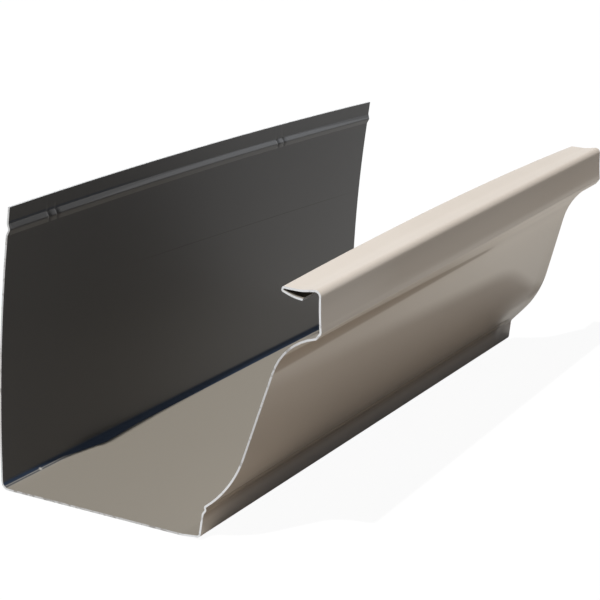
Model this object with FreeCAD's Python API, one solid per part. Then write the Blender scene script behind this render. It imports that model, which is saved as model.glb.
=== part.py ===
import FreeCAD, Part
import math
import os

# A short length of one-piece ogee rain gutter, rolled from painted aluminium sheet.
# Millimetres. +X runs from the back wall to the front lip, +Y along the gutter, +Z up.
# The origin is on the underside, at the middle of the flat bottom.

# Stock
sheet = 0.7
length = 263.5
bend = 0.5                 # inside radius of the riser and nose bends
lip_bend = 1.0
crease = 0.4               # inside radius of the small step above the kick
back_corner_bend = 2.2
kick_corner_bend = 1.0

# Main sizes, on the outside of the sheet, between sharp corners
bottom_width = 82.55
front_height = 91.6
back_height = 102.0
back_rise = 1.4            # how much higher the free edge of the back is at the far end
reach = 125.7              # back corner to the nose of the front

# Back wall: it curves in towards the trough, more at the cut ends than midway
lean_at_ends = 6.5
lean_midway = 1.7
curve_foot = 12.0          # straight part of the wall at each end of its curve

# Front, from the bottom up
foot_rise = 0.8            # the bottom turns up this much at the front corner
foot_run = 7.0
foot_bend = 12.0
kick_height = 9.3
kick_lean = 1.25
step_out = 1.2
step_rise = 1.6
groove_depth = 0.4
groove_rise = 1.0
ovolo_angle = 38.0
ovolo_run = 13.2
ovolo_run_far = 13.7
ovolo_radius = 42.0

# Front, from the lip down
nose_drop = 13.9           # top of the lip down to the tip of the nose
nose_depth = 1.75
nose_rise = 2.2
nose_return = 0.15
nose_return_rise = 1.9
cove_angle = 14.0
cove_run = 11.6
cove_radius = 20.0
cove_angle_far = 24.5      # the cove has opened towards the far end
cove_run_far = 12.6
cove_radius_far = 26.0
riser_lean = 0.3

# Lip and its open hem
lip_width = 13.8
lip_fall = 0.8
lip_fall_far = 0.0
lip_arch = 2.2             # how much higher the lip's inner edge is midway
lip_dish = 0.6
hem_bend = 0.15
hem_angle = 20.0
hem_leg = 4.5
tail_angle = 7.0
tail_leg = 3.2

# How far the front closes in towards the far end, about its bottom corner
front_close = 3.6

# Bead pressed along the back, towards the trough
bead_drop = 7.9            # free edge down to the middle of the bead
bead_width = 4.0
bead_height = 0.8

corner_strip = 10.0        # the bends at the bottom's corners end within this of them
stations = 7               # sections that shape the back and front along their length


def polar(start, angle, distance):
    """The point at a distance from start, at an angle above +X."""
    turn = math.radians(angle)
    return (start[0] + distance * math.cos(turn), start[1] + distance * math.sin(turn))


def turned(point, centre, angle):
    """A point turned about a centre, towards the trough."""
    run, rise = point[0] - centre[0], point[1] - centre[1]
    return polar(centre, math.degrees(math.atan2(rise, run)) + angle, math.hypot(run, rise))


def between(near, far, share):
    """A size part way along, from its values at the near and the far end."""
    return near + (far - near) * share


def heading(start, end):
    """The unit vector from one corner to the next."""
    run, rise = end[0] - start[0], end[1] - start[1]
    size = math.hypot(run, rise)
    return (run / size, rise / size)


def along(start, way, distance):
    """The point at a distance from start on a line with this heading."""
    return (start[0] + way[0] * distance, start[1] + way[1] * distance)


def beside(point, way, distance):
    """The point at a distance to the left of a line with this heading."""
    return (point[0] - way[1] * distance, point[1] + way[0] * distance)


def turn_between(before, after):
    """The turn from one heading to the next in radians, to the left where positive."""
    cross = before[0] * after[1] - before[1] * after[0]
    return math.atan2(cross, before[0] * after[0] + before[1] * after[1])


def sheet_wire(corners, y):
    """The cut edge of a sheet bent round corners (point, inside radius) on its outside face."""

    def place(point, way, gap):
        spot = beside(point, way, gap)
        return FreeCAD.Vector(spot[0] - bottom_width / 2, y, spot[1])

    faces = {0: [], sheet: []}
    reached = corners[0][0]
    for (last, _), (corner, radius), (following, _) in zip(corners, corners[1:], corners[2:]):
        before, after = heading(last, corner), heading(corner, following)
        turn = turn_between(before, after)
        side = math.copysign(1, turn)
        outside = radius + sheet if side > 0 else radius
        setback = outside * math.tan(abs(turn) / 2)
        start, end = along(corner, before, -setback), along(corner, after, setback)
        centre = beside(start, before, side * outside)
        middle = heading(centre, corner)
        for gap, edges in faces.items():
            crown = along(centre, middle, outside - side * gap)
            ends = (place(start, before, gap), place(end, after, gap))
            edges.append(Part.LineSegment(place(reached, before, gap), ends[0]).toShape())
            edges.append(Part.Arc(ends[0], place(crown, middle, 0), ends[1]).toShape())
        reached = end
    last = corners[-1][0]
    ahead = heading(reached, last)
    for gap, edges in faces.items():
        edges.append(Part.LineSegment(place(reached, ahead, gap), place(last, ahead, gap)).toShape())
    first, down = corners[0][0], heading(corners[0][0], corners[1][0])
    free_edge = Part.LineSegment(place(first, down, sheet), place(first, down, 0)).toShape()
    hem_edge = Part.LineSegment(place(last, ahead, 0), place(last, ahead, sheet)).toShape()
    return Part.Wire([free_edge] + faces[0] + [hem_edge] + faces[sheet][::-1])


def back_corners(share):
    """The free edge of the back, the bead, the curved wall and the bottom corner, part way along."""
    lean = lean_midway + (lean_at_ends - lean_midway) * (2 * share - 1) ** 2
    top, waist, foot = (lean, back_height + back_rise * share), (0, back_height / 2), (0, 0)
    down = heading(top, waist)
    corners = [(top, 0)]
    for drop, inward in ((-bead_width / 2, 0), (0, bead_height), (bead_width / 2, 0)):
        corners.append((beside(along(top, down, bead_drop + drop), down, inward), bend))
    curve_radius = (back_height / 2 - curve_foot) / math.tan(turn_between(down, (0, -1)) / 2)
    return corners + [(waist, curve_radius), (foot, back_corner_bend)]


def front_corners(share):
    """The turn-up, bottom corner, kick, ovolo, cove, nose, riser, lip and hem, part way along."""
    close = front_close * share
    foot = (bottom_width, foot_rise)
    kick = (foot[0] + kick_lean, kick_height)
    step = (kick[0] + step_out, kick[1] + step_rise)
    groove = (step[0] - groove_depth, step[1] + groove_rise)
    ovolo = polar(groove, ovolo_angle, between(ovolo_run, ovolo_run_far, share))
    nose = (reach, front_height - nose_drop)
    under_nose = (nose[0] - nose_depth, nose[1] - nose_rise)
    slope = between(cove_angle, cove_angle_far, share)
    cove = polar(under_nose, 180 + slope, between(cove_run, cove_run_far, share))
    cove_bend = between(cove_radius, cove_radius_far, share)
    over_nose = (nose[0] - nose_return, nose[1] + nose_return_rise)
    lip_outer = (over_nose[0] - riser_lean, front_height)
    fall = between(lip_fall, lip_fall_far, share) - lip_arch * 4 * share * (1 - share)
    lip_inner = (lip_outer[0] - lip_width, front_height - fall)
    lip_middle = ((lip_outer[0] + lip_inner[0]) / 2, (lip_outer[1] + lip_inner[1]) / 2 - lip_dish)
    hem = (lip_inner[0], lip_inner[1] - 2 * (sheet + hem_bend))
    tail = polar(hem, -hem_angle, hem_leg)
    hem_end = polar(tail, -tail_angle, tail_leg)
    corners = [
        (kick, crease), (step, crease), (groove, crease), (ovolo, ovolo_radius), (cove, cove_bend),
        (under_nose, bend), (nose, bend), (over_nose, bend), (lip_outer, lip_bend), (lip_middle, lip_width),
        (lip_inner, hem_bend), (hem, hem_bend), (tail, lip_width), (hem_end, 0),
    ]
    turn_up = [((bottom_width - foot_run, 0), foot_bend), (foot, kick_corner_bend)]
    return turn_up + [(turned(point, foot, close), radius) for point, radius in corners]


def rolled(corners_at):
    """A strip of the sheet through its cut edges at every station, given its corners part way along."""
    shares = [step / (stations - 1) for step in range(stations)]
    wires = [sheet_wire(corners_at(share), (share - 0.5) * length) for share in shares]
    return Part.makeLoft(wires, True, True)


def gutter_section():
    """The whole section, rolled from one sheet and cut square at both ends."""
    bottom_start, bottom_end = (corner_strip, 0), (bottom_width - corner_strip, 0)
    back = rolled(lambda share: back_corners(share) + [(bottom_start, 0)])
    front = rolled(lambda share: [(bottom_end, 0)] + front_corners(share))
    bottom = Part.makeBox(bottom_end[0] - bottom_start[0], length, sheet)
    bottom.translate(FreeCAD.Vector(bottom_start[0] - bottom_width / 2, -length / 2, 0))
    return bottom.fuse([back, front]).Solids[0]


os.makedirs("parts", exist_ok=True)
gutter_section().exportStep("parts/gutter_section.step")
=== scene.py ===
"""A short length of ogee rain gutter, rolled from one painted aluminium sheet."""

import logging
import math
from bisect import bisect_left
from dataclasses import dataclass, field
from enum import Enum
from itertools import accumulate
from typing import Optional, Protocol, Sequence, Union

import bmesh
import bpy
from mathutils import Matrix, Vector


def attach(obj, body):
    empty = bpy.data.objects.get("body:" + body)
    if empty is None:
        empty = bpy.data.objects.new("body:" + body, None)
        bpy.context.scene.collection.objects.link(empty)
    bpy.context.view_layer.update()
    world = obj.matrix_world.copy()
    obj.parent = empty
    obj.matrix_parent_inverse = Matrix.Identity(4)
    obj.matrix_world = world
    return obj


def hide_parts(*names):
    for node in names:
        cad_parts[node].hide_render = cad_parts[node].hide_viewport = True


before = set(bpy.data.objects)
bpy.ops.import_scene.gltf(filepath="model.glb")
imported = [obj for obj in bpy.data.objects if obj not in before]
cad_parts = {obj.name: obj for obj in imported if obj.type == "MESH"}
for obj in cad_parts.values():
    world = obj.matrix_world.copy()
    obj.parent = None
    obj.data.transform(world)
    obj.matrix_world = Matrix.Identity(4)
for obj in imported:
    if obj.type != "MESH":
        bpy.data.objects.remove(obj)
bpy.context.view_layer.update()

LOG = logging.getLogger("gutter")
MM = 0.001
NODE = "gutter_section"
LINE_GAP = 0.01            # fold lines are further apart than this, in mm
LEAST_TURN = 1e-5          # a turn smaller than this is none, in radians
PLACE_DIGITS = 3           # decimals of a mm in the places of the rows
ROW_DIGITS = 2             # decimals of a mm that tell one row from another
BEFORE, PAST = -50.0, 400.0    # off the sheet's two free edges, in mm round it
MIX_SHARE, MIX_FIRST, MIX_SECOND, MIX_RESULT = 0, 6, 7, 2    # a Mix node's colour sockets

Colour = tuple[float, float, float]


def srgb(red: int, green: int, blue: int) -> Colour:
    """A colour written as it looks on screen, 0 to 255, in the linear numbers that shaders take.

    Args:
        red: The red part.
        green: The green part.
        blue: The blue part.

    Returns:
        The three linear parts, 0 to 1.
    """
    def linear(part: int) -> float:
        """One part of the colour in linear light."""
        share = part / 255
        return share / 12.92 if share <= 0.04045 else ((share + 0.055) / 1.055) ** 2.4

    return linear(red), linear(green), linear(blue)


def between(near: float, far: float, share: float) -> float:
    """A size at a share of the way from one value to another."""
    return near + (far - near) * share


class Side(Enum):
    """The kinds of surface on the sheet, in the order of its material slots."""

    OUTSIDE = 0
    INSIDE = 1
    CUT_EDGE = 2


# Shape. A section is seen from the near end: x from the back wall to the front, z up.
# A share of the length runs from 0 at the near end to 1 at the far end, and a name that ends
# in far is a size at the far end.


@dataclass(frozen=True)
class Corner:
    """A bend in the sheet: where its outside face would meet, and its inside radius, in mm."""

    x: float
    z: float
    radius: float = 0.0

    def spot(self) -> Vector:
        """Where the corner is."""
        return Vector((self.x, self.z))

    def turned(self, centre: "Corner", turn: float) -> "Corner":
        """The corner turned about another one, towards the trough, in radians."""
        place = centre.spot() + Matrix.Rotation(turn, 2) @ (self.spot() - centre.spot())
        return Corner(place.x, place.y, self.radius)

    def to(self, other: "Corner") -> Vector:
        """The step from this corner to another one."""
        return other.spot() - self.spot()

    def polar(self, angle: float, distance: float, radius: float = 0.0) -> "Corner":
        """The corner at a distance from this one.

        Args:
            angle: Degrees above the level.
            distance: How far away, in mm.
            radius: The new corner's bend radius, in mm.

        Returns:
            The new corner.
        """
        turn = math.radians(angle)
        return Corner(
            self.x + distance * math.cos(turn), self.z + distance * math.sin(turn), radius
        )


class Bend:
    """One bend of the sheet, as an arc on its outside face."""

    def __init__(self, last: Corner, corner: Corner, following: Corner, sheet: float) -> None:
        """Works out the bend at a corner between two others.

        Args:
            last: The corner before.
            corner: The corner itself.
            following: The corner after.
            sheet: The thickness of the sheet, in mm.
        """
        before, after = last.to(corner).normalized(), corner.to(following).normalized()
        self.turn = math.atan2(before.x * after.y - before.y * after.x, before.dot(after))
        self.radius = corner.radius + sheet if self.turn > 0 else corner.radius
        setback = self.radius * math.tan(abs(self.turn) / 2)
        self.start = corner.spot() - before * setback
        self.end = corner.spot() + after * setback
        side = math.copysign(self.radius, self.turn)
        self.centre = self.start + Vector((-before.y, before.x)) * side

    def length(self) -> float:
        """The bend's length along the outside face, in mm."""
        return self.radius * abs(self.turn)

    def points(self, facets: int) -> list[Vector]:
        """The fold lines of the bend after its first one.

        Args:
            facets: How many facets the bend has.

        Returns:
            As many places on the section.
        """
        spoke = self.start - self.centre
        return [
            self.centre + Matrix.Rotation(self.turn * number / facets, 2) @ spoke
            for number in range(1, facets + 1)
        ]


def straight(start: Vector, end: Vector, panels: int) -> list[Vector]:
    """The fold lines of a flat run after its first one."""
    return [start.lerp(end, number / panels) for number in range(1, panels + 1)]


@dataclass
class BackWall:
    """The tall plain wall that goes against the house, with a bead along its top. Sizes in mm."""

    height: float = 102.0
    rise: float = 1.4
    lean_at_ends: float = 6.5
    lean_midway: float = 1.7
    curve_foot: float = 12.0
    corner_bend: float = 2.2
    bead_drop: float = 7.9
    bead_width: float = 4.0
    bead_height: float = 0.8
    bead_bend: float = 0.5

    def corners(self, share: float) -> list[Corner]:
        """The corners from the free edge down to the bottom.

        Args:
            share: Share of the length.

        Returns:
            The corners.
        """
        lean = between(self.lean_midway, self.lean_at_ends, (2 * share - 1) ** 2)
        top = Corner(lean, self.height + self.rise * share)
        waist = Corner(0, self.height / 2)
        down = top.to(waist).normalized()
        inward = Vector((-down.y, down.x))
        side = self.bead_width / 2
        found = [top]
        for drop, rise in ((-side, 0), (0, self.bead_height), (side, 0)):
            spot = top.spot() + down * (self.bead_drop + drop) + inward * rise
            found.append(Corner(spot.x, spot.y, self.bead_bend))
        turn = math.atan2(down.x, -down.y)
        curve = (self.height / 2 - self.curve_foot) / math.tan(abs(turn) / 2)
        return found + [Corner(waist.x, waist.z, curve), Corner(0, 0, self.corner_bend)]


@dataclass
class Front:
    """The moulded front, from the bottom's turn-up to the nose under the lip. Sizes in mm.

    A name that starts with flare is what the foot of the ovolo comes to at the far end, where
    the saw has bent it out.
    """

    bottom_width: float = 82.55
    height: float = 91.6
    reach: float = 125.7
    foot_rise: float = 0.8
    foot_run: float = 7.0
    foot_bend: float = 12.0
    corner_bend: float = 1.0
    crease: float = 0.4
    bend: float = 0.5
    kick_height: float = 9.3
    kick_lean: float = 1.25
    step_out: float = 1.2
    step_rise: float = 1.6
    groove_depth: float = 0.4
    groove_depth_far: float = -0.1
    groove_fade: float = 0.35
    groove_rise: float = 1.0
    ovolo_angle: float = 38.0
    ovolo_run: float = 13.2
    ovolo_run_far: float = 13.7
    ovolo_radius: float = 42.0
    nose_drop: float = 13.9
    nose_depth: float = 1.75
    nose_rise: float = 2.2
    nose_return: float = 0.15
    nose_return_rise: float = 1.9
    cove_angle: float = 14.0
    cove_run: float = 11.6
    cove_radius: float = 20.0
    cove_angle_far: float = 24.5
    cove_run_far: float = 12.6
    cove_radius_far: float = 26.0
    flare_share: float = 0.045
    flare_step_out: float = 0.35
    flare_step_rise: float = 0.5
    flare_groove_depth: float = -0.55
    flare_groove_rise: float = 0.6
    flare_angle: float = 44.2
    flare_run: float = 18.4

    def corners(self, share: float) -> list[Corner]:
        """The corners from the bottom up to the one above the nose, before the front closes.

        Args:
            share: Share of the length.

        Returns:
            The corners.
        """
        turn_up = Corner(self.bottom_width - self.foot_run, 0, self.foot_bend)
        foot = Corner(self.bottom_width, self.foot_rise, self.corner_bend)
        nose = Corner(self.reach, self.height - self.nose_drop, self.bend)
        under = Corner(nose.x - self.nose_depth, nose.z - self.nose_rise, self.bend)
        cove = under.polar(
            180 + between(self.cove_angle, self.cove_angle_far, share),
            between(self.cove_run, self.cove_run_far, share),
            between(self.cove_radius, self.cove_radius_far, share),
        )
        over = Corner(nose.x - self.nose_return, nose.z + self.nose_return_rise, self.bend)
        return [turn_up, foot, *self.ovolo(foot, share), cove, under, nose, over]

    def ovolo(self, foot: Corner, share: float) -> list[Corner]:
        """The kick, the step and groove over it, and the ovolo.

        Args:
            foot: The bottom's front corner.
            share: Share of the length.

        Returns:
            The corners.
        """
        flare = max(0.0, 1 - (1 - share) / self.flare_share) ** 2
        out = between(self.step_out, self.flare_step_out, flare)
        rise = between(self.step_rise, self.flare_step_rise, flare)
        kick = Corner(foot.x + self.kick_lean, self.kick_height, self.crease)
        step = Corner(kick.x + out, kick.z + rise, self.crease)
        depth = between(self.groove_depth, self.groove_depth_far, share ** self.groove_fade)
        depth = between(depth, self.flare_groove_depth, flare)
        rise = between(self.groove_rise, self.flare_groove_rise, flare)
        groove = Corner(step.x - depth, step.z + rise, self.crease)
        angle = between(self.ovolo_angle, self.flare_angle, flare)
        run = between(between(self.ovolo_run, self.ovolo_run_far, share), self.flare_run, flare)
        return [kick, step, groove, groove.polar(angle, run, self.ovolo_radius)]


@dataclass
class Lip:
    """The flat lip on top of the front and the open hem folded back under it. Sizes in mm."""

    height: float = 91.6
    riser_lean: float = 0.3
    riser_lean_far: float = -0.2
    riser_dish: float = 0.2
    riser_curve: float = 100.0
    bend: float = 1.4
    width: float = 13.8
    fall: float = 0.8
    fall_far: float = 0.0
    arch: float = 2.2
    dish: float = 0.6
    hem_bend: float = 0.15
    hem_angle: float = 20.0
    hem_leg: float = 4.5
    tail_angle: float = 7.0
    tail_leg: float = 3.2

    def corners(self, below: Corner, sheet: float, share: float) -> list[Corner]:
        """The corners from the riser over the lip and round to the hem's free edge.

        Args:
            below: The last corner of the front.
            sheet: The thickness of the sheet, in mm.
            share: Share of the length.

        Returns:
            The corners, the last of them the hem's free edge.
        """
        fall = between(self.fall, self.fall_far, share) - self.arch * 4 * share * (1 - share)
        lean = between(self.riser_lean, self.riser_lean_far, share)
        outer = Corner(below.x - lean, self.height, self.bend)
        riser = Corner(
            below.x - lean / 2 - self.riser_dish, (below.z + self.height) / 2, self.riser_curve
        )
        inner = Corner(outer.x - self.width, self.height - fall, self.hem_bend)
        middle = Corner(
            (outer.x + inner.x) / 2, (outer.z + inner.z) / 2 - self.dish, self.width
        )
        hem = Corner(inner.x, inner.z - 2 * (sheet + self.hem_bend), self.hem_bend)
        tail = hem.polar(-self.hem_angle, self.hem_leg, self.width)
        end = tail.polar(-self.tail_angle, self.tail_leg)
        return [riser, outer, middle, inner, hem, tail, end]


@dataclass
class Crimps:
    """Pairs of short slanted dents that the feed roll leaves across the bead. Sizes in mm."""

    first_pair: float = 26.0
    pitch: float = 161.5
    gap: float = 4.9
    slant: float = 35.0
    long: float = 3.4
    wide: float = 1.1
    depth: float = 0.75

    def pairs(self, length: float) -> list[float]:
        """How far the middle of each pair is from the near end.

        Args:
            length: The length of the gutter, in mm.

        Returns:
            The distances, in mm.
        """
        count = int((length - self.first_pair) / self.pitch) + 1
        return [self.first_pair + number * self.pitch for number in range(count)]

    def pressed(self, along: float, below: float, length: float) -> float:
        """How deep the dents are at a spot on the wall.

        Args:
            along: Distance from the near end, in mm.
            below: Distance below the middle of the bead, in mm.
            length: The length of the gutter, in mm.

        Returns:
            The share of the full depth, 0 to 1.
        """
        lean = math.radians(self.slant)
        deepest = 0.0
        for place in self.pairs(length):
            for side in (-1, 1):
                run = along - place - side * self.gap / 2
                across = abs(run * math.cos(lean) - below * math.sin(lean))
                down = abs(run * math.sin(lean) + below * math.cos(lean))
                past_end = max(0.0, down - self.long / 2)
                far = math.hypot(across, past_end) / (self.wide / 2)
                deepest = max(deepest, math.exp(-far * far))
        return deepest


@dataclass
class Profile:
    """The outside face of the gutter's section, as facets between fold lines. Sizes in mm.

    Close is how many degrees the front closes in by the far end, panel the widest facet, and
    arc_step the most degrees that a fold line turns.
    """

    back: BackWall = field(default_factory=BackWall)
    front: Front = field(default_factory=Front)
    lip: Lip = field(default_factory=Lip)
    sheet: float = 0.7
    close: float = 3.6
    panel: float = 3.0
    arc_step: float = 9.0
    arc_least: int = 5
    facets: list[int] = field(init=False)

    def __post_init__(self) -> None:
        """Settles the numbers of facets from the section midway along."""
        self.facets = self.divide(self.corners(0.5))

    def corners(self, share: float) -> list[Corner]:
        """The corners from the free edge of the back to that of the hem.

        Args:
            share: Share of the length.

        Returns:
            The corners.
        """
        flat = self.front.corners(share)
        front = flat + self.lip.corners(flat[-1], self.sheet, share)
        turn_up, foot, *above = front
        turn = math.radians(self.close * share)
        closed = [corner.turned(foot, turn) for corner in above]
        return self.back.corners(share) + [turn_up, foot] + closed

    def divide(self, corners: Sequence[Corner]) -> list[int]:
        """Works out how many facets each flat run and each bend has.

        Args:
            corners: The corners of a section.

        Returns:
            The numbers, a run and a bend in turn, with a run last.
        """
        found = []
        reached = corners[0].spot()
        for last, corner, following in zip(corners, corners[1:], corners[2:]):
            bend = Bend(last, corner, following, self.sheet)
            found.append(max(1, round((bend.start - reached).length / self.panel)))
            turn = abs(math.degrees(bend.turn))
            wanted = max(turn / self.arc_step, bend.length() / self.panel)
            found.append(max(self.arc_least, math.ceil(wanted)))
            reached = bend.end
        found.append(max(1, round((corners[-1].spot() - reached).length / self.panel)))
        return found

    def outline(self, share: float) -> list[Vector]:
        """The fold lines' places on the section, as many at every share.

        Args:
            share: Share of the length.

        Returns:
            The places, from the free edge of the back.
        """
        corners = self.corners(share)
        facets = iter(self.facets)
        points = [corners[0].spot()]
        for last, corner, following in zip(corners, corners[1:], corners[2:]):
            bend = Bend(last, corner, following, self.sheet)
            points += straight(points[-1], bend.start, next(facets))
            points += bend.points(next(facets))
        return points + straight(points[-1], corners[-1].spot(), next(facets))

    def line_after(self, bend: int) -> int:
        """The number of the fold line at the end of a bend, counted from the back's free edge."""
        return sum(self.facets[:2 * bend + 2])


@dataclass
class RolledSheet:
    """The gutter: a flat strip, folded up along its length, then given its thickness.

    Sizes in mm. The rows are the divisions along the length, which are finer at the dents and
    at the flare, and row_gap is the least room between a plain one and the dents' own. The
    sharpest edge shaded smooth is smooth_below, in degrees, and back_bend is the number of the
    bend between the back and the bottom.
    """

    profile: Profile = field(default_factory=Profile)
    crimps: Crimps = field(default_factory=Crimps)
    length: float = 263.5
    row: float = 6.0
    row_gap: float = 2.0
    flare_row: float = 1.1
    crimp_row: float = 0.45
    crimp_reach: float = 4.5
    least_press: float = 0.004
    smooth_below: float = 32.0
    back_bend: int = 4
    midway: list[Vector] = field(init=False)
    girths: list[float] = field(init=False)

    def __post_init__(self) -> None:
        """Works out the fold lines midway along, and how far round the sheet each one is."""
        self.midway = self.profile.outline(0.5)
        widths = [(end - start).length for start, end in zip(self.midway, self.midway[1:])]
        self.girths = list(accumulate(widths, initial=0.0))

    def build(self, name: str) -> bpy.types.Object:
        """Makes the folded sheet.

        Args:
            name: The piece's name.

        Returns:
            The finished piece, at the origin.
        """
        piece = self.flat(name)
        self.fold(piece)
        self.cut_rows(piece)
        self.spring(piece)
        self.press_crimps(piece)
        self.thicken(piece)
        return piece

    def flat(self, name: str) -> bpy.types.Object:
        """Makes the flat strip, one panel extruded from the last.

        Args:
            name: The piece's name.

        Returns:
            The strip, with the bottom of the gutter in its place.
        """
        level = self.profile.line_after(self.back_bend)
        left = self.midway[level].x - self.profile.front.bottom_width / 2 - self.girths[level]
        first = self.girths[1]
        middle = (left + first / 2) * MM
        bpy.ops.object.select_all(action="DESELECT")
        bpy.ops.mesh.primitive_plane_add(size=1, location=(middle, 0, 0))
        piece = bpy.context.object
        piece.name = piece.data.name = name
        piece.scale = (first * MM, self.length * MM, 1)
        bpy.ops.object.transform_apply(location=True, rotation=False, scale=True)
        bpy.ops.object.mode_set(mode="EDIT")
        bpy.ops.mesh.select_mode(type="EDGE")
        bpy.ops.mesh.select_all(action="DESELECT")
        mesh = bmesh.from_edit_mesh(piece.data)
        for edge in mesh.edges:
            if all(vert.co.x > middle for vert in edge.verts):
                edge.select_set(True)
        bmesh.update_edit_mesh(piece.data)
        for last, girth in zip(self.girths[1:], self.girths[2:]):
            bpy.ops.mesh.extrude_region_move(
                TRANSFORM_OT_translate={"value": ((girth - last) * MM, 0, 0)}
            )
        mesh = bmesh.from_edit_mesh(piece.data)
        layer = mesh.verts.layers.float.new("girth")
        for vert in mesh.verts:
            vert[layer] = vert.co.x / MM - left
        bmesh.update_edit_mesh(piece.data)
        bpy.ops.mesh.select_all(action="SELECT")
        bpy.ops.mesh.flip_normals()
        bpy.ops.object.mode_set(mode="OBJECT")
        return piece

    def fold(self, piece: bpy.types.Object) -> None:
        """Folds the strip up, from the bottom outwards, first the back and then the front.

        Args:
            piece: The flat strip.
        """
        level = self.profile.line_after(self.back_bend)
        back = [(line, -1) for line in range(level, 0, -1)]
        front = [(line, 1) for line in range(level + 1, len(self.girths) - 1)]
        bpy.ops.object.mode_set(mode="EDIT")
        bpy.ops.mesh.select_mode(type="VERT")
        for line, side in back + front:
            turn = self.turn_at(line)
            if abs(turn) < LEAST_TURN:
                continue
            bpy.ops.mesh.select_all(action="DESELECT")
            mesh = bmesh.from_edit_mesh(piece.data)
            layer = mesh.verts.layers.float["girth"]
            place = self.girths[line]
            hinge = min(mesh.verts, key=lambda vert: abs(vert[layer] - place)).co.copy()
            for vert in mesh.verts:
                vert.select_set((vert[layer] - place) * side > LINE_GAP)
            bmesh.update_edit_mesh(piece.data)
            bpy.ops.transform.rotate(
                value=turn * side, orient_axis="Y", orient_type="GLOBAL",
                center_override=(hinge.x, 0, hinge.z),
            )
        bpy.ops.object.mode_set(mode="OBJECT")

    def turn_at(self, line: int) -> float:
        """The turn of the sheet at a fold line midway along, in radians."""
        last, here, following = self.midway[line - 1:line + 2]
        return (following - here).angle_signed(here - last)

    def rows(self) -> list[float]:
        """Where the sheet is divided along its length.

        Returns:
            The places, in mm from its middle.
        """
        count = round(self.length / self.row)
        found = [(step / count - 0.5) * self.length for step in range(1, count)]
        flared = math.ceil(self.profile.front.flare_share * self.length / self.flare_row)
        found += [self.length / 2 - step * self.flare_row for step in range(1, flared)]
        reach = self.crimps.gap / 2 + self.crimp_reach
        fine = math.ceil(reach / self.crimp_row)
        for pair in self.crimps.pairs(self.length):
            middle = pair - self.length / 2
            found = [place for place in found if abs(place - middle) > reach + self.row_gap]
            found += [middle + step * self.crimp_row for step in range(-fine, fine + 1)]
        return sorted({round(place, PLACE_DIGITS) for place in found})

    def cut_rows(self, piece: bpy.types.Object) -> None:
        """Divides the folded sheet along its length.

        Args:
            piece: The folded sheet.
        """
        bpy.ops.object.mode_set(mode="EDIT")
        for place in self.rows():
            bpy.ops.mesh.select_all(action="SELECT")
            bpy.ops.mesh.bisect(plane_co=(0, place * MM, 0), plane_no=(0, 1, 0))
        bpy.ops.object.mode_set(mode="OBJECT")

    def spring(self, piece: bpy.types.Object) -> None:
        """Moves every row as the cut length has sprung there, and maps the sheet.

        Args:
            piece: The folded sheet, divided along its length.
        """
        mesh = bmesh.new()
        mesh.from_mesh(piece.data)
        layer = mesh.verts.layers.float["girth"]
        sheet_map = mesh.loops.layers.uv.active
        for face in mesh.faces:
            for loop in face.loops:
                along = loop.vert.co.y + self.length / 2 * MM
                loop[sheet_map].uv = (loop.vert[layer] * MM, along)
        outlines = {}
        for vert in mesh.verts:
            row = round(vert.co.y / MM, ROW_DIGITS)
            if row not in outlines:
                outlines[row] = self.profile.outline(row / self.length + 0.5)
            line = bisect_left(self.girths, vert[layer] - LINE_GAP)
            move = outlines[row][line] - self.midway[line]
            vert.co += Vector((move.x, 0, move.y)) * MM
        mesh.to_mesh(piece.data)
        mesh.free()

    def press_crimps(self, piece: bpy.types.Object) -> None:
        """Presses the slanted dents into the bead.

        Args:
            piece: The sheet before it has its thickness.
        """
        middle = self.profile.back.bead_drop
        girths = piece.data.attributes["girth"].data
        group = piece.vertex_groups.new(name="crimps")
        for vert, girth in zip(piece.data.vertices, girths):
            below = girth.value - middle
            if abs(below) < self.crimp_reach:
                along = vert.co.y / MM + self.length / 2
                depth = self.crimps.pressed(along, below, self.length)
                if depth > self.least_press:
                    group.add([vert.index], depth, "REPLACE")
        press = piece.modifiers.new("crimps", "DISPLACE")
        press.direction = "X"
        press.mid_level = 0.0
        press.strength = -self.crimps.depth * MM
        press.vertex_group = group.name
        finish_modifier(piece, press)

    def thicken(self, piece: bpy.types.Object) -> None:
        """Gives the sheet its thickness towards the trough, and a slot for each kind of surface.

        Args:
            piece: The shaped sheet.
        """
        for _ in Side:
            piece.data.materials.append(None)
        gauge = piece.modifiers.new("gauge", "SOLIDIFY")
        gauge.thickness = self.profile.sheet * MM
        gauge.offset = -1.0
        gauge.use_even_offset = True
        gauge.material_offset = Side.INSIDE.value
        gauge.material_offset_rim = Side.CUT_EDGE.value
        finish_modifier(piece, gauge)
        self.square_ends(piece)
        bpy.ops.object.shade_smooth_by_angle(angle=math.radians(self.smooth_below))

    def square_ends(self, piece: bpy.types.Object) -> None:
        """Brings both cut ends back to square, which the thickness has tilted.

        Args:
            piece: The sheet with its thickness.
        """
        select_only(piece)
        bpy.ops.object.mode_set(mode="EDIT")
        bpy.ops.mesh.select_mode(type="VERT")
        for end in (-self.length / 2, self.length / 2):
            bpy.ops.mesh.select_all(action="DESELECT")
            mesh = bmesh.from_edit_mesh(piece.data)
            for vert in mesh.verts:
                vert.select_set(abs(vert.co.y / MM - end) < self.profile.sheet)
            bmesh.update_edit_mesh(piece.data)
            bpy.ops.transform.resize(
                value=(1, 0, 1), orient_type="GLOBAL", center_override=(0, end * MM, 0)
            )
        bpy.ops.object.mode_set(mode="OBJECT")

    def dress(self, piece: bpy.types.Object, finishes: dict[Side, "Finish"]) -> None:
        """Gives each kind of surface its finish, hangs the piece on the root body and hides the
        CAD part it stands in for.

        Args:
            piece: The finished sheet.
            finishes: A finish for each kind of surface.
        """
        for side, finish in finishes.items():
            piece.data.materials[side.value] = finish.material()
        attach(piece, "root")
        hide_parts(NODE)


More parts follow.
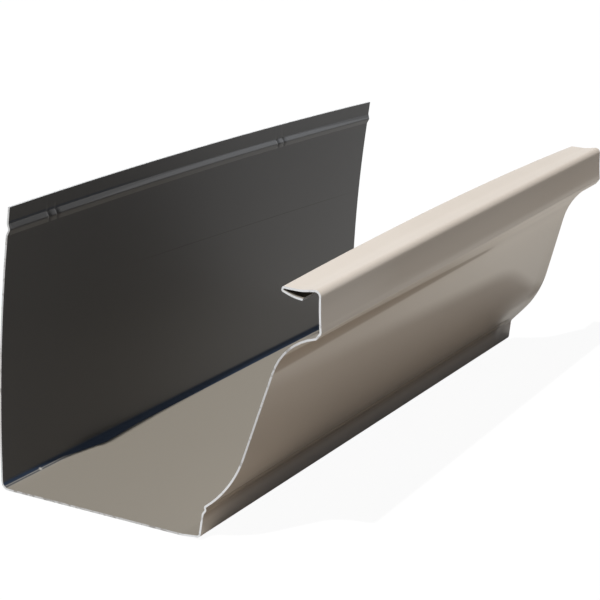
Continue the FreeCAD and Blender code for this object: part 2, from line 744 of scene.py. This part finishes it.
def select_only(piece: bpy.types.Object) -> None:
    """Makes a piece the only selected and the active one.

    Args:
        piece: The piece.
    """
    bpy.ops.object.select_all(action="DESELECT")
    piece.select_set(True)
    bpy.context.view_layer.objects.active = piece


def finish_modifier(piece: bpy.types.Object, modifier: bpy.types.Modifier) -> None:
    """Applies a modifier to its piece."""
    select_only(piece)
    bpy.ops.object.modifier_apply(modifier=modifier.name)


# Finishes. Patterns lie on the sheet by two distances in mm: girth, how far round it from the
# free edge of the back, and along, how far from the near end.


Link = Union["Value", float]
Key = Union[int, str]
Sockets = dict[Key, object]


class Value:
    """A number in a shader, so that sums on it are written as plain sums."""

    def __init__(self, nodes: "Nodes", socket: bpy.types.NodeSocket) -> None:
        """Wraps one output socket of a node."""
        self.nodes, self.socket = nodes, socket

    def math(self, operation: str, *others: Link) -> "Value":
        """Adds a Math node.

        Args:
            operation: The node's operation.
            others: What goes into its other sockets.

        Returns:
            The result.
        """
        sockets = dict(enumerate((self, *others)))
        return self.nodes.add("ShaderNodeMath", {"operation": operation}, sockets)

    def __add__(self, other: Link) -> "Value":
        """The sum."""
        return self.math("ADD", other)

    def __radd__(self, other: float) -> "Value":
        """The sum, from the right."""
        return self.math("ADD", other)

    def __sub__(self, other: Link) -> "Value":
        """The difference."""
        return self.math("SUBTRACT", other)

    def __rsub__(self, other: float) -> "Value":
        """The difference, from the right."""
        return self.math("MULTIPLY_ADD", -1.0, other)

    def __mul__(self, other: Link) -> "Value":
        """The product."""
        return self.math("MULTIPLY", other)

    def __rmul__(self, other: float) -> "Value":
        """The product, from the right."""
        return self.math("MULTIPLY", other)

    def least(self, *others: Link) -> "Value":
        """The smallest of this and the others."""
        return self.math("MINIMUM", others[0]).least(*others[1:]) if others else self

    def most(self, *others: Link) -> "Value":
        """The largest of this and the others."""
        return self.math("MAXIMUM", others[0]).most(*others[1:]) if others else self

    def step(self, low: float, high: float) -> "Value":
        """A smooth rise from 0 to 1.

        Args:
            low: Where the rise starts.
            high: Where it ends. Below low, the result falls instead.

        Returns:
            The share, 0 to 1.
        """
        rises = low < high
        first, last = (low, high) if rises else (high, low)
        start, end = (0.0, 1.0) if rises else (1.0, 0.0)
        sockets = {
            "Value": self, "From Min": first, "From Max": last, "To Min": start, "To Max": end,
        }
        settings = {"interpolation_type": "SMOOTHSTEP"}
        return self.nodes.add("ShaderNodeMapRange", settings, sockets)

    def band(self, low: float, high: float, soft: float) -> "Value":
        """1 between two values and 0 outside, with soft sides.

        Args:
            low: The lower side.
            high: The upper side.
            soft: The width of each side.

        Returns:
            The share, 0 to 1.
        """
        half = soft / 2
        return self.step(low - half, low + half) * self.step(high + half, high - half)


class Nodes:
    """Adds nodes to one material or world, and gives their outputs back."""

    def __init__(self, name: str, kind: bpy.types.bpy_prop_collection) -> None:
        """Makes an empty material or world.

        Args:
            name: Its name.
            kind: The collection that it goes into.
        """
        self.owner = kind.new(name)
        self.owner.use_nodes = True
        self.tree = self.owner.node_tree
        self.tree.nodes.clear()

    def add(
        self, kind: str, settings: dict[str, object], inputs: Sockets, output: Key = 0
    ) -> Value:
        """Adds a node.

        Args:
            kind: The node's type.
            settings: Its settings, set before its sockets.
            inputs: Values or links by socket name or number.
            output: The output to give back.

        Returns:
            That output.
        """
        node = self.tree.nodes.new(kind)
        for key, value in settings.items():
            setattr(node, key, value)
        for key, value in inputs.items():
            if isinstance(value, Value):
                self.tree.links.new(value.socket, node.inputs[key])
            else:
                node.inputs[key].default_value = value
        return Value(self, node.outputs[output])

    def mix(
        self, share: Link, first: Union[Value, Colour], second: Union[Value, Colour]
    ) -> Value:
        """Mixes two colours.

        Args:
            share: How much of the second one, 0 to 1.
            first: The first colour.
            second: The second colour.

        Returns:
            The mixed colour.
        """
        sockets = {MIX_SHARE: share, MIX_FIRST: four(first), MIX_SECOND: four(second)}
        return self.add("ShaderNodeMix", {"data_type": "RGBA"}, sockets, MIX_RESULT)

    def noise(self, scale: float, detail: float = 3.0, rough: float = 0.5) -> Value:
        """Cloudy noise over the piece.

        Args:
            scale: How many clouds there are to the metre.
            detail: How many finer layers it has.
            rough: How strong they are.

        Returns:
            The noise, around 0.5.
        """
        place = self.add("ShaderNodeTexCoord", {}, {}, output="Object")
        sockets = {"Vector": place, "Scale": scale, "Detail": detail, "Roughness": rough}
        return self.add("ShaderNodeTexNoise", {}, sockets)

    def sheet_map(self) -> tuple[Value, Value]:
        """Where each spot is on the sheet.

        Returns:
            Its girth and its distance along, in mm.
        """
        flat = self.add("ShaderNodeUVMap", {"uv_map": "UVMap"}, {})
        split = "ShaderNodeSeparateXYZ"
        girth, along = (self.add(split, {}, {0: flat}, output) for output in ("X", "Y"))
        return girth * (1 / MM), along * (1 / MM)

    def principled(self, sockets: Sockets) -> bpy.types.Material:
        """Ends the material with one plain shader, given what goes into its sockets."""
        return self.output(self.add("ShaderNodeBsdfPrincipled", {}, sockets))

    def output(self, shader: Value, kind: str = "ShaderNodeOutputMaterial") -> bpy.types.ID:
        """Ends the material or world with this shader.

        Args:
            shader: What the surface shows.
            kind: The type of the last node.

        Returns:
            The material or world.
        """
        node = self.tree.nodes.new(kind)
        self.tree.links.new(shader.socket, node.inputs["Surface"])
        return self.owner


def four(colour: Union[Value, Colour]) -> Union[Value, tuple[float, float, float, float]]:
    """A colour with its fourth part, or a link as it is."""
    return colour if isinstance(colour, Value) else (*colour, 1.0)


class Finish(Protocol):
    """What every finish can do."""

    def material(self) -> bpy.types.Material:
        """The finish as a material."""


@dataclass(frozen=True)
class Strip:
    """A soft-sided strip along the sheet, from low to high round it. Sizes in mm.

    It fades in along the sheet from one distance to the other of fade, where it has one.
    """

    low: float
    high: float
    soft: float
    share: float = 1.0
    fade: Optional[tuple[float, float]] = None

    def mask(self, girth: Value, along: Value) -> Value:
        """How strongly each spot of the sheet shows it.

        Args:
            girth: Distance round the sheet, in mm.
            along: Distance along it, in mm.

        Returns:
            The mask, 0 to share.
        """
        mask = girth.band(self.low, self.high, self.soft)
        if self.fade:
            mask = mask * along.step(*self.fade)
        return mask * self.share


@dataclass(frozen=True)
class Slant:
    """A line along the sheet that drifts round it: its girth at the near end and its slope."""

    start: float
    slope: float

    def at(self, along: Value) -> Value:
        """The line's girth, in mm, at a distance along the sheet."""
        return along * self.slope + self.start


@dataclass(frozen=True)
class Spot:
    """A round soft spot on the sheet. Sizes in mm."""

    girth: float
    along: float
    reach: float

    def mask(self, girth: Value, along: Value) -> Value:
        """How strongly each spot of the sheet shows it.

        Args:
            girth: Distance round the sheet, in mm.
            along: Distance along it, in mm.

        Returns:
            The mask, 0 to 1.
        """
        rise, run = girth - self.girth, along - self.along
        return (run * run + rise * rise).math("SQRT").step(self.reach, 0.0)


@dataclass(frozen=True)
class PaintedFace:
    """The baked enamel on the outside of the sheet, with painted shade and painted highlights.

    The lip and the riser are painted darker as shade, the lip more towards the far end, under
    random clouds of the same darker tone. The lower front is painted darker as shade below the two
    slanting lines of its upper edge, with painted shade in the groove over the kick, on the riser
    at the far end and as the dark line in the cove, line_half being half that line's width. The
    steep run, the crest under the nose, the rim at the foot of the ovolo by the far cut and a spot
    on the kick by the far end are painted lighter as highlights and reflections.
    """

    colour: Colour = srgb(217, 205, 191)
    # Darker tone for random clouds, and for the painted shade on the lip and the riser.
    clouds_and_shade: Colour = srgb(196, 182, 166)
    # Painted highlights and reflections on the steep run, the crest, the rim and the kick.
    bleached: Colour = srgb(250, 240, 226)
    # Painted shade on the lower front, in the groove over the kick, on the far riser and in the
    # cove.
    shade_tone: Colour = srgb(158, 136, 112)
    rough: float = 0.3
    clouds: float = 40.0
    cloud_share: float = 0.3
    # Painted shade on the lip, more towards the far end, and on the riser.
    lip: Strip = Strip(276.0, PAST, 8.0, 0.6, (-60.0, 300.0))
    riser: Strip = Strip(278.0, 288.0, 5.0, 0.8, (20.0, 70.0))
    # Painted shade on the riser at the far end.
    riser_far: Strip = Strip(278.0, 288.0, 5.0, 0.3, (140.0, 230.0))
    # Painted highlight on the crest under the nose, and painted reflection on the steep run.
    crest: Strip = Strip(258.5, 276.0, 4.0, 0.55, (0.0, 130.0))
    steep: Strip = Strip(BEFORE, 258.0, 12.0, 0.85, (20.0, 190.0))
    # Painted shade on the lower front below its upper edge, and in the groove over the kick.
    ovolo: Strip = Strip(198.0, PAST, 20.0, 0.38)
    seam: Strip = Strip(191.0, 197.5, 3.0, 0.5)
    # The upper edge of the painted shade on the lower front, two slanting lines.
    shade_top: Slant = Slant(246.5, -0.055)
    shade_top_far: Slant = Slant(337.2, -0.478)
    shade_top_round: float = 12.0
    shade_top_soft: tuple[float, float] = (-4.0, 5.0)
    # The painted dark line of shade in the cove.
    line: Slant = Slant(254.5, 0.006)
    line_half: Slant = Slant(4.3, -0.018)
    line_soft: tuple[float, float] = (-0.3, 1.3)
    line_end: tuple[float, float] = (182.0, 166.0)
    line_share: float = 0.65
    # Painted highlight on the foot of the ovolo by the far cut.
    rim: Strip = Strip(BEFORE, 209.5, 5.0, 1.0, (224.0, 240.0))
    rim_foot: Slant = Slant(259.5, -0.25)
    rim_soft: tuple[float, float] = (-1.0, 1.5)
    # Painted highlight on a spot of the kick by the far end.
    kick_highlight: Spot = Spot(192.0, 249.0, 6.0)
    kick_highlight_share: float = 0.8

    def material(self) -> bpy.types.Material:
        """The finish as a material.

        Returns:
            The material.
        """
        nodes = Nodes("painted_face", bpy.data.materials)
        sheet = nodes.sheet_map()
        # Painted shade on the lip and the riser, under random clouds of the darker tone.
        clouds_and_shade = self.lip.mask(*sheet) + self.riser.mask(*sheet)
        clouds_and_shade = (clouds_and_shade + nodes.noise(self.clouds) * self.cloud_share).least(1.0)
        colour = nodes.mix(clouds_and_shade, self.colour, self.clouds_and_shade)
        above = self.above_shade_top(*sheet)
        # Painted highlights and reflections on the steep run, the crest, the rim and the kick
        # spot.
        steep = above.step(*self.shade_top_soft) * self.steep.mask(*sheet)
        rim, kick_highlight = self.rim_mask(*sheet), self.kick_highlight.mask(*sheet)
        light = steep + self.crest.mask(*sheet) + rim + kick_highlight * self.kick_highlight_share
        colour = nodes.mix(light.least(1.0), colour, self.bleached)
        # Painted shade on the lower front, in the groove over the kick, on the far riser and in
        # the cove.
        dark = above.step(*reversed(self.shade_top_soft)) * self.ovolo.mask(*sheet)
        dark = dark + self.seam.mask(*sheet) + self.riser_far.mask(*sheet)
        dark = dark + self.line_mask(*sheet) * self.line_share
        clear = 1.0 - (rim + kick_highlight).least(1.0)
        colour = nodes.mix(dark * clear, colour, self.shade_tone)
        return nodes.principled({"Base Color": colour, "Roughness": self.rough})

    def above_shade_top(self, girth: Value, along: Value) -> Value:
        """How far above the upper edge of the painted shade on the lower front each spot is.

        Args:
            girth: Distance round the sheet, in mm.
            along: Distance along it, in mm.

        Returns:
            The distance, in mm.
        """
        far = self.shade_top_far.at(along)
        return girth - self.shade_top.at(along).math("SMOOTH_MIN", far, self.shade_top_round)

    def line_mask(self, girth: Value, along: Value) -> Value:
        """The painted dark line of shade in the cove, which narrows and ends part way along.

        Args:
            girth: Distance round the sheet, in mm.
            along: Distance along it, in mm.

        Returns:
            The mask, 0 to 1.
        """
        away = (girth - self.line.at(along)).math("ABSOLUTE")
        inside = (self.line_half.at(along) - away).step(*self.line_soft)
        return inside * along.step(*self.line_end)

    def rim_mask(self, girth: Value, along: Value) -> Value:
        """The painted highlight on the foot of the ovolo at the far end.

        Args:
            girth: Distance round the sheet, in mm.
            along: Distance along it, in mm.

        Returns:
            The mask, 0 to 1.
        """
        above = (girth - self.rim_foot.at(along)).step(*self.rim_soft)
        return above * self.rim.mask(girth, along)


@dataclass(frozen=True)
class InsideCoat:
    """The thinner grey coat on the trough's side, with painted shade on the wall and a blue-black
    painted shadow in its corner.

    The wall is painted dark as shade, and lighter towards the far end as a painted reflection.
    Corner_rise, corner_fall and corner_run are the stretches of the corner shadow's edge, from the
    near end on. Two thin bright lines in the bend by the near end are painted highlights, the nick
    is a bright mark in it, and fringe is a dark line of painted shade over the bead.
    """

    colour: Colour = srgb(144, 137, 126)
    # Painted shade on the wall, turning lighter towards the far end as a painted reflection.
    wall: Colour = srgb(74, 74, 75)
    wall_far: Colour = srgb(107, 109, 112)
    # Blue-black painted shadow in the corner, and painted shade over the bead.
    corner: Colour = srgb(20, 38, 60)
    # Bright colour for the nick and for the painted highlights in the bend by the near end.
    nick_and_highlight: Colour = srgb(190, 186, 178)
    stain: Colour = srgb(92, 76, 64)
    black: Colour = (0.0, 0.0, 0.0)
    rough: float = 0.3
    dull: float = 0.85
    # Where the wall's painted shade turns to the lighter painted reflection.
    wall_change: tuple[float, float] = (50.0, 220.0)
    wall_foot: tuple[float, float] = (104.4, 103.2)
    scratch: Slant = Slant(36.2, 0.022)
    scratch_half: float = 0.15
    scratch_soft: float = 0.2
    scratch_run: tuple[float, float, float] = (90.0, 245.0, 40.0)
    scratch_share: float = 0.35
    stains: float = 160.0
    stain_layers: float = 2.0
    stain_edge: tuple[float, float] = (0.72, 0.78)
    stain_end: tuple[float, float] = (14.0, 4.0)
    stain_share: float = 0.6
    # Where the blue-black painted shadow in the corner lies.
    corner_soft: tuple[float, float] = (-0.25, 0.35)
    corner_start: tuple[float, float] = (99.6, 101.4)
    corner_rise: Slant = Slant(96.01, 0.19)
    corner_fall: Slant = Slant(110.875, -0.075)
    corner_run: Slant = Slant(105.6, -0.0075)
    corner_least: float = 102.4
    # Dark line of painted shade over the bead, by the near end.
    fringe: Strip = Strip(4.9, 5.8, 0.5, 0.7, (100.0, 60.0))
    # Two thin painted highlights in the bend by the near end.
    bright_marks: tuple[Strip, ...] = (
        Strip(102.6, 102.8, 0.25, 0.5, (36.0, 30.0)), Strip(103.8, 104.0, 0.25, 0.5, (36.0, 30.0)),
    )
    nick: Spot = Spot(102.8, 20.0, 1.2)

    def material(self) -> bpy.types.Material:
        """The finish as a material.

        Returns:
            The material.
        """
        nodes = Nodes("inside_coat", bpy.data.materials)
        girth, along = nodes.sheet_map()
        # The wall is painted darker as shade, and lighter towards the far end as a painted
        # reflection.
        wall = nodes.mix(along.step(*self.wall_change), self.wall, self.wall_far)
        scratch = girth - self.scratch.at(along)
        scratch = scratch.band(-self.scratch_half, self.scratch_half, self.scratch_soft)
        scratch = scratch * along.band(*self.scratch_run) * self.scratch_share
        wall = nodes.mix(scratch, wall, self.black)
        colour = nodes.mix(girth.step(*self.wall_foot), self.colour, wall)
        stains = nodes.noise(self.stains, self.stain_layers).step(*self.stain_edge)
        stains = stains * along.step(*self.stain_end) * self.stain_share
        colour = nodes.mix(stains, colour, self.stain)
        # Blue-black painted shadow of the leaning wall in the corner, and painted shade over the
        # bead.
        shaded = (self.corner_edge(along) - girth).step(*self.corner_soft)
        shaded = shaded * girth.step(*self.corner_start)
        dark = shaded.most(self.fringe.mask(girth, along))
        colour = nodes.mix(dark, colour, self.corner)
        # Painted highlights in the bend by the near end, with the nick.
        bright_marks = self.nick.mask(girth, along).most(*(highlight_line.mask(girth, along) for highlight_line in self.bright_marks))
        colour = nodes.mix(bright_marks, colour, self.nick_and_highlight)
        rough = shaded * (self.dull - self.rough) + self.rough
        return nodes.principled({"Base Color": colour, "Roughness": rough})

    def corner_edge(self, along: Value) -> Value:
        """How far round the sheet the painted shadow in the corner reaches.

        Args:
            along: Distance along the sheet, in mm.

        Returns:
            Its girth, in mm.
        """
        fall = self.corner_fall.at(along).most(self.corner_run.at(along))
        return self.corner_rise.at(along).least(fall).most(self.corner_least)


@dataclass(frozen=True)
class CutEdge:
    """Bare bright aluminium where the saw went through, with burr and specks on it."""

    colour: Colour = srgb(236, 238, 240)
    burr: Colour = srgb(110, 101, 90)
    rough: float = 0.35
    metal: float = 0.15
    bottom: Strip = Strip(106.0, 176.0, 4.0)
    bottom_share: float = 0.35
    bottom_specks: float = 0.06
    walls: tuple[Strip, ...] = (
        Strip(216.0, 268.0, 16.0, 0.3), Strip(BEFORE, 100.0, 20.0, 0.3),
    )
    specks: float = 420.0
    speck_layers: float = 4.0
    speck_strength: float = 0.6
    speck_edge: tuple[float, float] = (0.54, 0.68)
    speck_share: float = 0.35

    def material(self) -> bpy.types.Material:
        """The finish as a material.

        Returns:
            The material.
        """
        nodes = Nodes("cut_edge", bpy.data.materials)
        sheet = nodes.sheet_map()
        bottom = self.bottom.mask(*sheet)
        specks = nodes.noise(self.specks, self.speck_layers, self.speck_strength)
        specks = (specks + bottom * self.bottom_specks).step(*self.speck_edge)
        burr = bottom * self.bottom_share + specks * self.speck_share
        for wall in self.walls:
            burr = burr + wall.mask(*sheet)
        colour = nodes.mix(burr, self.colour, self.burr)
        sockets = {"Base Color": colour, "Roughness": self.rough, "Metallic": self.metal}
        return nodes.principled(sockets)


# Stage


@dataclass
class Camera:
    """The camera, where the photograph was taken from. Metres."""

    place: tuple[float, float, float] = (0.3096, -0.5523, 0.2237)
    right: tuple[float, float, float] = (0.87182, 0.48940, 0.02043)
    down: tuple[float, float, float] = (0.15076, -0.22840, -0.96182)
    lens: float = 99.0
    nearest: float = 0.01
    furthest: float = 20.0

    def build(self) -> None:
        """Adds the camera and makes it the scene's."""
        right, up = Vector(self.right).normalized(), -Vector(self.down).normalized()
        back = right.cross(up).normalized()
        up = back.cross(right)
        data = bpy.data.cameras.new("camera")
        data.lens = self.lens
        data.clip_start, data.clip_end = self.nearest, self.furthest
        camera = bpy.data.objects.new("camera", data)
        turned = Matrix((right, up, back)).transposed().to_4x4()
        camera.matrix_world = Matrix.Translation(self.place) @ turned
        bpy.context.scene.collection.objects.link(camera)
        bpy.context.scene.camera = camera


@dataclass
class Studio:
    """The pale floor, the white surroundings and one low hard lamp. Metres and degrees."""

    floor_size: float = 60.0
    floor_drop: float = 0.0002
    floor_colour: Colour = (0.5, 0.475, 0.44)
    floor_shade: Colour = (0.06, 0.06, 0.06)
    floor_glow: float = 0.95
    sky: Colour = (1.0, 1.0, 1.0)
    ambient: Colour = (0.045, 0.06, 0.085)
    lamp_from: tuple[float, float, float] = (0.010, -0.56, 1.0)
    lamp_width: float = 1.0
    lamp_strength: float = 3.7

    def build(self) -> None:
        """Adds the surroundings, the floor and the lamp."""
        self.world()
        self.floor()
        self.lamp()

    def world(self) -> None:
        """Adds surroundings that are white to the camera and in reflections, and light dimly."""
        nodes = Nodes("surroundings", bpy.data.worlds)
        rays = ("Is Camera Ray", "Is Glossy Ray", "Is Transmission Ray")
        camera, glossy, through = (nodes.add("ShaderNodeLightPath", {}, {}, ray) for ray in rays)
        colour = nodes.mix(camera.most(glossy, through), self.ambient, self.sky)
        light = nodes.add("ShaderNodeBackground", {}, {"Color": colour})
        bpy.context.scene.world = nodes.output(light, "ShaderNodeOutputWorld")

    def floor(self) -> None:
        """Adds a floor that is white to the camera, with a faint shadow, and dull otherwise."""
        bpy.ops.object.select_all(action="DESELECT")
        bpy.ops.mesh.primitive_plane_add(
            size=self.floor_size, location=(0, 0, -self.floor_drop)
        )
        floor = bpy.context.object
        floor.name = "floor"
        nodes = Nodes("pale_floor", bpy.data.materials)
        seen = nodes.add("ShaderNodeLightPath", {}, {}, "Is Camera Ray")
        dull = nodes.add("ShaderNodeBsdfDiffuse", {}, {"Color": four(self.floor_colour)})
        glow = nodes.add("ShaderNodeEmission", {}, {"Strength": self.floor_glow})
        pale = nodes.add("ShaderNodeBsdfDiffuse", {}, {"Color": four(self.floor_shade)})
        bright = nodes.add("ShaderNodeAddShader", {}, {0: glow, 1: pale})
        shader = nodes.add("ShaderNodeMixShader", {}, {0: seen, 1: dull, 2: bright})
        floor.data.materials.append(nodes.output(shader))

    def lamp(self) -> None:
        """Adds a hard distant lamp, which casts the back wall's shade into the trough."""
        data = bpy.data.lights.new("sun", "SUN")
        data.angle = math.radians(self.lamp_width)
        data.energy = self.lamp_strength
        lamp = bpy.data.objects.new("sun", data)
        lamp.rotation_euler = Vector(self.lamp_from).to_track_quat("Z", "Y").to_euler()
        bpy.context.scene.collection.objects.link(lamp)


def main() -> None:
    """Builds the gutter, its finishes and the stage."""
    logging.basicConfig(level=logging.INFO, format="%(message)s")
    Camera().build()
    sheet = RolledSheet()
    piece = sheet.build("rolled_sheet")
    sheet.dress(piece, {
        Side.OUTSIDE: PaintedFace(), Side.INSIDE: InsideCoat(), Side.CUT_EDGE: CutEdge(),
    })
    LOG.info("%s: %d faces", piece.name, len(piece.data.polygons))
    Studio().build()
    bpy.context.scene.view_settings.view_transform = "Standard"


if __name__ == "__main__":
    main()
